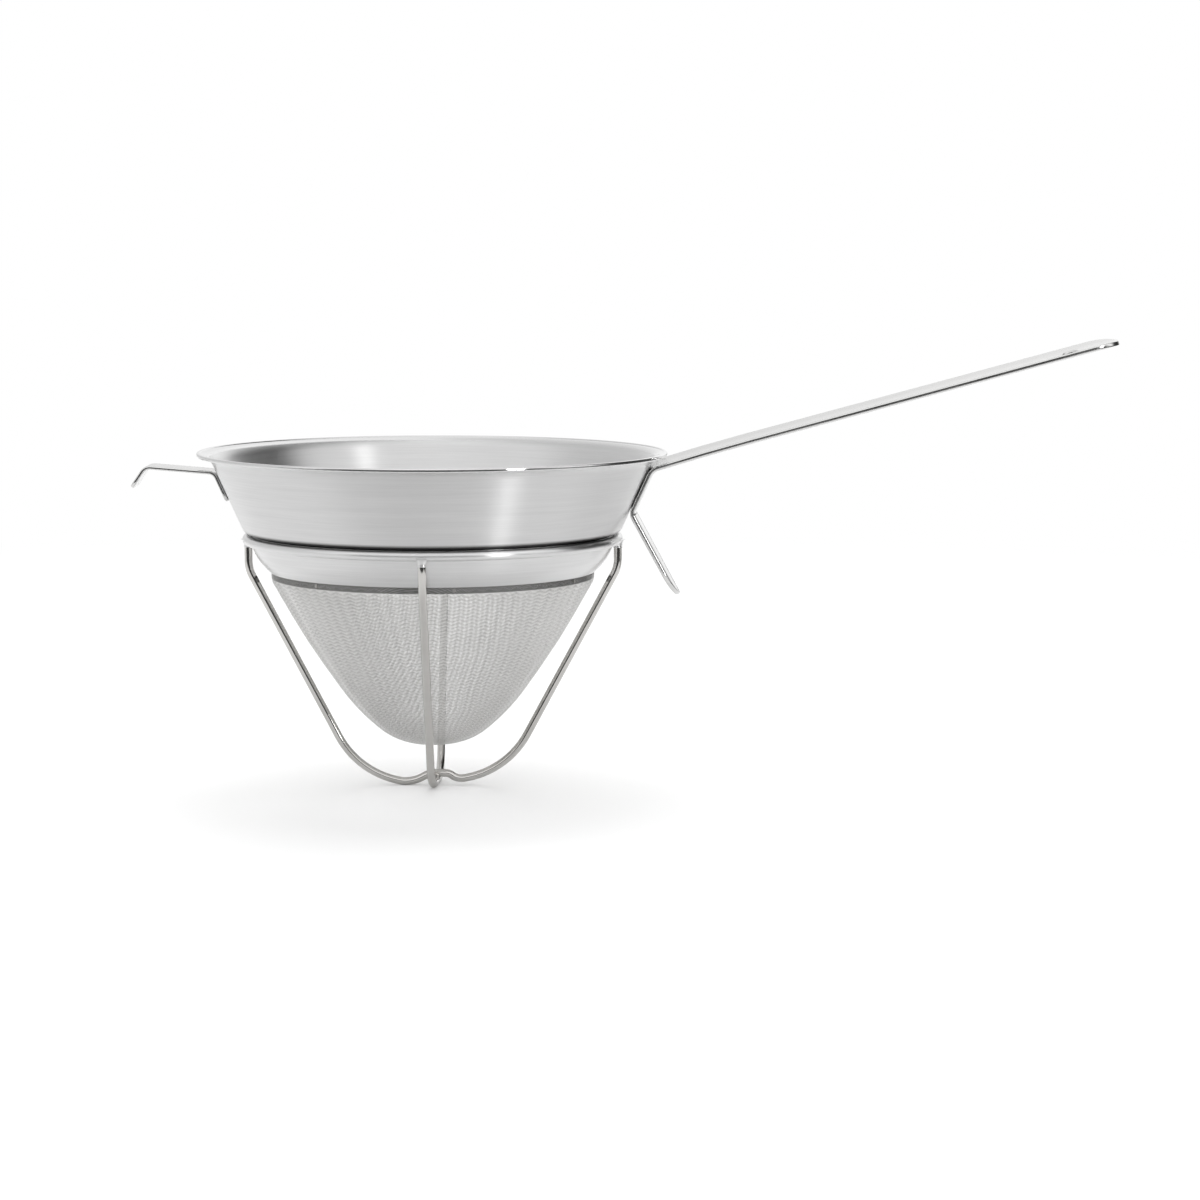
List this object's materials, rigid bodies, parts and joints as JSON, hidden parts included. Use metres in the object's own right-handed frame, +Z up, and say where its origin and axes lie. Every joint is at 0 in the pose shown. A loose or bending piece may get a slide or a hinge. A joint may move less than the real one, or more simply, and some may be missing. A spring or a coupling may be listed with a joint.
{
  "type": "chinois strainer",
  "caption": "Hand-held fine mesh strainer: flared sheet bowl over a bullet-shaped woven wire cone with crossed guard wires, a long strip handle with a leg and a pot hook",
  "frame": {"origin": "on the bowl's axis, on the table that the crossed guard wires stand on", "axes": "+X runs along the handle away from the bowl, -X to the pot hook, +Z up along the bowl's axis"},
  "size_m": [0.4267, 0.2032, 0.1952],
  "materials": {
    "polished_bowl": "spun and polished stainless sheet with faint turning lines",
    "wire_cloth": "fine plain-woven stainless wire cloth, see-through",
    "drawn_wire": "bright drawn and polished stainless wire",
    "brushed_strip": "tumbled stainless strip with soft edges",
    "weld_metal": "small polished weld nuggets"
  },
  "bodies": {
    "root": {"bowl": "polished_bowl", "collar": "polished_bowl", "bead_ring_wire": "drawn_wire", "clamp_ring": "polished_bowl", "mesh_cone": "wire_cloth", "guard_wire_lengthwise": "drawn_wire", "guard_wire_crosswise": "drawn_wire", "guard_end_welds": "weld_metal", "crossing_weld": "weld_metal", "handle": "brushed_strip", "front_hook": "brushed_strip", "mesh_spot_welds": "weld_metal", "handle_spot_welds": "weld_metal", "hook_spot_welds": "weld_metal"}
  },
  "joints": []
}
